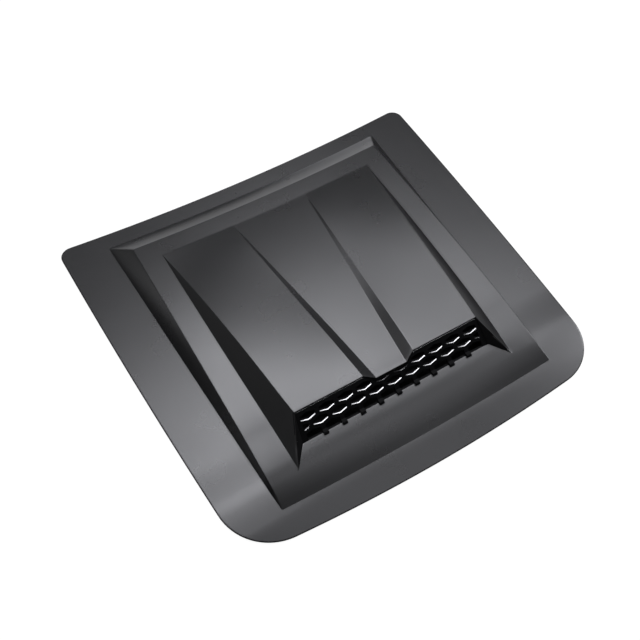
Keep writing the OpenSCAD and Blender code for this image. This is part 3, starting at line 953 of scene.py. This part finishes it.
class SCOOP_OT_grille(bpy.types.Operator):
    """Finish the honeycomb grille with softly rounded bars"""

    bl_idname = "scoop.grille"
    bl_label = "Honeycomb Grille"

    # Height above the sill of the grille's feet, which are left dull, with no painted highlight
    foot_height = 4.6 * MM
    # Depth behind the grille's face and width of the band of raised gloss on the bars, a painted highlight
    band_depth = 1.2 * MM
    band_w = 1.1 * MM
    # Radius along the bars, its steps, and the least turn of an edge that gets it
    bar_r = 0.5 * MM
    bar_steps = 2
    bar_angle = math.radians(25)
    # Faces that turn by less are one face, and those that turn by more than the second shade apart
    flat_angle = math.radians(1)
    shade_angle = math.radians(40)

    def execute(self, context):
        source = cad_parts["grille_insert"]
        bm = bmesh.new()
        bm.from_mesh(source.data)
        bmesh.ops.transform(bm, matrix=source.matrix_world, verts=bm.verts[:])
        bmesh.ops.remove_doubles(bm, verts=bm.verts[:], dist=WELD)
        bmesh.ops.dissolve_limit(
            bm,
            angle_limit=self.flat_angle,
            verts=bm.verts[:],
            edges=bm.edges[:],
            use_dissolve_boundaries=False,
        )
        bm.normal_update()
        joined = [e for e in bm.edges if len(e.link_faces) == 2]
        sharp = [e for e in joined if e.calc_face_angle(0.0) > self.bar_angle]
        round_edges(bm, sharp, self.bar_r, self.bar_steps, True)
        bm.normal_update()
        # The grille's own face is the widest that looks well forward and well up
        least = 0.5
        leaning = [face for face in bm.faces if -face.normal.y > least and face.normal.z > least]
        widest = max(leaning, key=lambda face: face.calc_area())
        facing = widest.normal.copy()
        front = widest.calc_center_median().dot(facing)
        form = ScoopForm(context.scene.scoop_shell)
        dull_below = form.plinth_z(form.sill_y) + self.foot_height
        band = (front - self.band_depth, self.band_w / 2)
        material = grille_plastic(context.scene.scoop_finish, facing, band, dull_below)
        grille = finished_object("grille_honeycomb", bm, material, self.shade_angle)
        # Broad faces keep their own direction, so that only the rounded edges beside them turn
        weighting = grille.modifiers.new("edge_shading", "WEIGHTED_NORMAL")
        weighting.mode = "FACE_AREA"
        weighting.keep_sharp = True
        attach(grille, "root")
        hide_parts("grille_insert")
        return {"FINISHED"}


class SCOOP_OT_fixings(bpy.types.Operator):
    """Give the screws and the foam tape their finishes"""

    bl_idname = "scoop.fixings"
    bl_label = "Screws and Tape"

    def execute(self, context):
        steel = screw_steel()
        foam = tape_foam()
        for name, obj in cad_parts.items():
            if name == "grille_screws":
                self.paint(obj, steel)
            elif name.startswith("tape_"):
                self.paint(obj, foam)
        return {"FINISHED"}

    @staticmethod
    def paint(obj, material):
        """Puts one material on every slot of an object."""
        if not obj.material_slots:
            obj.data.materials.append(material)
        for slot in obj.material_slots:
            slot.link = "OBJECT"
            slot.material = material


class SCOOP_OT_stage(bpy.types.Operator):
    """Set the pale floor, the soft studio lights and the camera"""

    bl_idname = "scoop.stage"
    bl_label = "Studio"

    # Soft panels round the part: elevation and azimuth in degrees, and power in watts
    panels = (
        ("back_panel", 66, 150, 56),
        ("back_left_panel", 66, 180, 50),
        ("back_low_panel", 56, 150, 39),
        ("back_right_panel", 66, 120, 29),
        ("back_right_low_panel", 56, 120, 37),
        ("right_panel", 45, 90, 150),
        ("high_back_panel", 78, 180, 45),
        ("high_right_panel", 78, 45, 13),
        ("front_right_panel", 66, 60, 13),
        ("left_panel", 45, 240, 70),
        ("horizon_panel", 30, 180, 12),
        ("rear_low_panel", 8, 155, 28),
    )
    panel_colour = (0.945, 0.95, 1.0)
    panel_distance = 6.0
    panel_side = 1.5
    floor_size = 6
    floor_roughness = 0.9
    # Painted shadow: the floor is painted black under the open shell, over this share of the footprint
    painted_shadow_colour = (0.006, 0.006, 0.006, 1)
    painted_shadow_share = 0.8
    # How much of the floor is plain white to the camera, at this strength; the rest keeps the shadow
    white_share = 0.8
    white_strength = 1.15
    # How much of that white shows in reflections
    gloss_share = 0.32
    room_strength = 0.16
    # The camera's place in metres, elevation and azimuth in degrees, focal length and sensor in millimetres
    camera_place = (-0.4581, -0.7391, 1.2559)
    camera_elevation = 56.50
    camera_azimuth = -30.70
    focal_length = 46.18
    sensor_width = 36

    def execute(self, context):
        self.floor(context)
        self.world(context)
        for panel in self.panels:
            self.softbox(context, *panel)
        self.camera(context)
        return {"FINISHED"}

    def floor(self, context):
        """A pale floor that shows as plain white all round the part, and under the part is painted black, a
        painted shadow over the real one.
        """
        bm = bmesh.new()
        bmesh.ops.create_grid(bm, x_segments=1, y_segments=1, size=self.floor_size)
        mesh = bpy.data.meshes.new("studio_floor")
        bm.to_mesh(mesh)
        bm.free()
        mesh.materials.append(self.pale_paint(context.scene.scoop_finish.floor_colour[:]))
        floor = bpy.data.objects.new("studio_floor", mesh)
        context.scene.collection.objects.link(floor)

    def pale_paint(self, colour):
        """The floor's paint: black under the part as a painted shadow, and partly plain white round it."""
        material, nodes, links, shader = new_material("pale_floor")
        shader.inputs["Roughness"].default_value = self.floor_roughness
        place = nodes.new("ShaderNodeTexCoord").outputs["Object"]
        half_x, half_y, _ = CAD_BOX[1]
        scale = (1 / (half_x * self.painted_shadow_share), 1 / (half_y * self.painted_shadow_share), 0)
        plan = maths(nodes, links, "MULTIPLY", place, scale, vector=True, result="Vector")
        quarter = maths(nodes, links, "ABSOLUTE", plan, vector=True, result="Vector")
        sides = [coordinate(nodes, links, quarter, axis) for axis in "XY"]
        outside = maths(nodes, links, "GREATER_THAN", maths(nodes, links, "MAXIMUM", *sides), 1.0)
        paint = nodes.new("ShaderNodeMix")
        paint.data_type = "RGBA"
        paint.inputs["A"].default_value = self.painted_shadow_colour
        paint.inputs["B"].default_value = colour
        links.new(outside, paint.inputs["Factor"])
        links.new(paint.outputs["Result"], shader.inputs["Base Color"])
        white = maths(nodes, links, "MULTIPLY", self.seen_white(nodes, links), outside)
        glow = nodes.new("ShaderNodeEmission")
        glow.inputs["Color"].default_value = (1, 1, 1, 1)
        glow.inputs["Strength"].default_value = self.white_strength
        blend = nodes.new("ShaderNodeMixShader")
        links.new(maths(nodes, links, "MULTIPLY", white, self.white_share), blend.inputs["Fac"])
        links.new(shader.outputs["BSDF"], blend.inputs[1])
        links.new(glow.outputs["Emission"], blend.inputs[2])
        links.new(blend.outputs["Shader"], nodes["Material Output"].inputs["Surface"])
        return material

    def seen_white(self, nodes, links):
        """How white the floor shows to a ray: fully to the camera and through glass, less in gloss."""
        path = nodes.new("ShaderNodeLightPath")
        seen = maths(nodes, links, "MULTIPLY", path.outputs["Is Glossy Ray"], self.gloss_share)
        for kind in ("Is Transmission Ray", "Is Camera Ray"):
            seen = maths(nodes, links, "MAXIMUM", seen, path.outputs[kind])
        return seen

    def world(self, context):
        """Dim room light, with the background shown white to the camera."""
        world = bpy.data.worlds.new("studio_world")
        world.use_nodes = True
        context.scene.world = world
        nodes = world.node_tree.nodes
        links = world.node_tree.links
        room = nodes["Background"]
        room.inputs["Color"].default_value = (1, 1, 1, 1)
        room.inputs["Strength"].default_value = self.room_strength
        white = nodes.new("ShaderNodeBackground")
        white.inputs["Color"].default_value = (1, 1, 1, 1)
        white.inputs["Strength"].default_value = 1.0
        path = nodes.new("ShaderNodeLightPath")
        rays = [path.outputs[kind] for kind in ("Is Camera Ray", "Is Transmission Ray")]
        blend = nodes.new("ShaderNodeMixShader")
        links.new(maths(nodes, links, "MAXIMUM", *rays), blend.inputs["Fac"])
        links.new(room.outputs["Background"], blend.inputs[1])
        links.new(white.outputs["Background"], blend.inputs[2])
        links.new(blend.outputs["Shader"], nodes["World Output"].inputs["Surface"])

    def softbox(self, context, name, elevation, azimuth, power):
        """A soft panel at a direction from the part, facing it; azimuth 0 stands at -Y."""
        up = math.radians(elevation)
        turn = math.radians(azimuth)
        aim = Vector((math.sin(turn) * math.cos(up), -math.cos(turn) * math.cos(up), math.sin(up)))
        light = bpy.data.lights.new(name, "AREA")
        light.shape = "SQUARE"
        light.size = self.panel_side
        light.energy = power
        light.color = self.panel_colour
        panel = bpy.data.objects.new(name, light)
        panel.location = aim * self.panel_distance
        panel.rotation_euler = (-aim).to_track_quat("-Z", "Y").to_euler()
        context.scene.collection.objects.link(panel)

    def camera(self, context):
        """The camera, above the front left corner."""
        lens = bpy.data.cameras.new("studio_camera")
        lens.sensor_width = self.sensor_width
        lens.lens = self.focal_length
        camera = bpy.data.objects.new("studio_camera", lens)
        camera.location = self.camera_place
        tilt = math.radians(90 - self.camera_elevation)
        camera.rotation_euler = (tilt, 0, math.radians(self.camera_azimuth))
        context.scene.collection.objects.link(camera)
        context.scene.camera = camera
        context.scene.view_settings.view_transform = "Standard"


class SCOOP_PT_panel(bpy.types.Panel):
    """Sidebar panel that lists the scoop's builders"""

    bl_idname = "SCOOP_PT_panel"
    bl_label = "Bonnet Scoop"
    bl_space_type = "VIEW_3D"
    bl_region_type = "UI"
    bl_category = "Scoop"

    def draw(self, context):
        layout = self.layout
        for operator in BUILDERS:
            layout.operator(operator.bl_idname)
        for group in ("scoop_shell", "scoop_detail", "scoop_finish"):
            settings = getattr(context.scene, group)
            for key in settings.bl_rna.properties.keys():
                if key not in {"rna_type", "name"}:
                    layout.prop(settings, key)


BUILDERS = (SCOOP_OT_shell, SCOOP_OT_grille, SCOOP_OT_fixings, SCOOP_OT_stage)
CLASSES = (ShellSizes, Finishes, MeshDetail) + BUILDERS + (SCOOP_PT_panel,)


def register():
    """Adds the classes and the settings to the scene."""
    for cls in CLASSES:
        bpy.utils.register_class(cls)
    bpy.types.Scene.scoop_shell = PointerProperty(type=ShellSizes)
    bpy.types.Scene.scoop_detail = PointerProperty(type=MeshDetail)
    bpy.types.Scene.scoop_finish = PointerProperty(type=Finishes)


def unregister():
    """Takes the settings and the classes away again."""
    del bpy.types.Scene.scoop_finish
    del bpy.types.Scene.scoop_detail
    del bpy.types.Scene.scoop_shell
    for cls in reversed(CLASSES):
        bpy.utils.unregister_class(cls)


def main():
    """Builds every piece and the stage."""
    register()
    bpy.ops.scoop.shell()
    bpy.ops.scoop.grille()
    bpy.ops.scoop.fixings()
    bpy.ops.scoop.stage()


if __name__ == "__main__":
    main()
